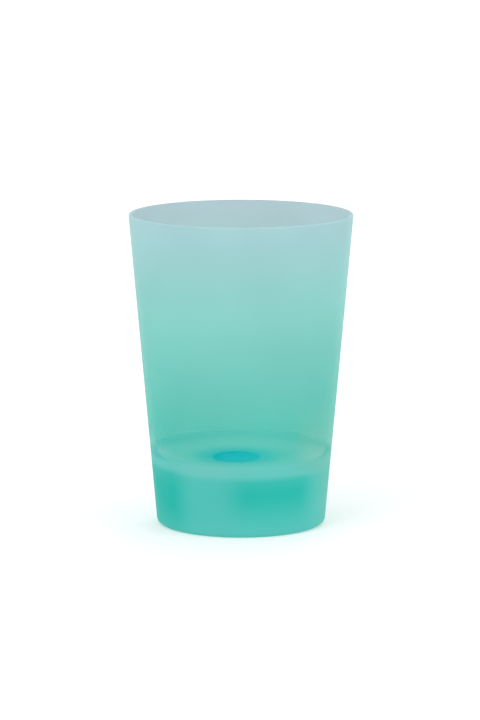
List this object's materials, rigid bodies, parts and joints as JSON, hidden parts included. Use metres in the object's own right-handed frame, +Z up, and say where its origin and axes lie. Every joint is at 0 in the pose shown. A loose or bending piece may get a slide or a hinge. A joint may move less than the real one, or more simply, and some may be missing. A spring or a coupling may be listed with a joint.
{
  "type": "light-up tumbler",
  "caption": "Tapered frosted drinking cup with a light window in its floor and a battery light unit, screwed cover and push button in its hollow base.",
  "frame": {"origin": "middle of the foot ring, on the surface that the cup stands on", "axes": "+Z up along the cup's axis; -Y is the side that faces the camera in the picture; the cells lie on the +Y side"},
  "size_m": [0.0816, 0.0816, 0.114],
  "materials": {
    "frosted_plastic": "frosted, satin, translucent",
    "clear_plastic": "clear, tinted by the lamps",
    "white_plastic": "satin",
    "button_plastic": "satin",
    "silicone": "matt",
    "board": "lacquered",
    "black_plastic": "moulded",
    "ceramic": "fired",
    "red_lamp": "tinted, clear",
    "green_lamp": "tinted, clear",
    "blue_lamp": "tinted, clear",
    "steel": "plated",
    "cell_can": "nickel plated"
  },
  "bodies": {
    "cover": {"base_cover": "white_plastic", "base_seal": "silicone", "cover_screws": "steel"},
    "cup": {"cup_body": "frosted_plastic", "light_lens": "clear_plastic", "lens_gasket": "silicone", "reflector": "white_plastic", "led_red": "red_lamp", "led_green": "green_lamp", "led_blue": "blue_lamp", "circuit_board": "board", "controller_chip": "black_plastic", "resistors": "black_plastic", "capacitor": "ceramic", "switch_body": "black_plastic", "switch_plate": "steel", "battery_tray": "white_plastic", "cell_1": "cell_can", "cell_2": "cell_can", "cell_3": "cell_can", "positive_contact": "steel", "negative_contact": "steel", "unit_screws": "steel"},
    "button": {"push_button": "button_plastic", "button_seal": "silicone"},
    "plunger": {"switch_plunger": "black_plastic"}
  },
  "joints": [
    {"name": "cup_lift", "type": "slide", "parent": "cover", "child": "cup", "axis": [0, 0, 1], "range_m": [0, 0.03]},
    {"name": "button_press", "type": "slide", "parent": "cover", "child": "button", "axis": [0, 0, 1], "range_m": [0, 0.0005], "stiffness_N_per_m": 400},
    {"name": "switch_travel", "type": "slide", "parent": "cup", "child": "plunger", "axis": [0, 0, 1], "range_m": [0, 0.0005], "stiffness_N_per_m": 40}
  ],
  "couplings": [
    {"joint": "switch_travel", "follows": "button_press", "ratio": 1}
  ]
}
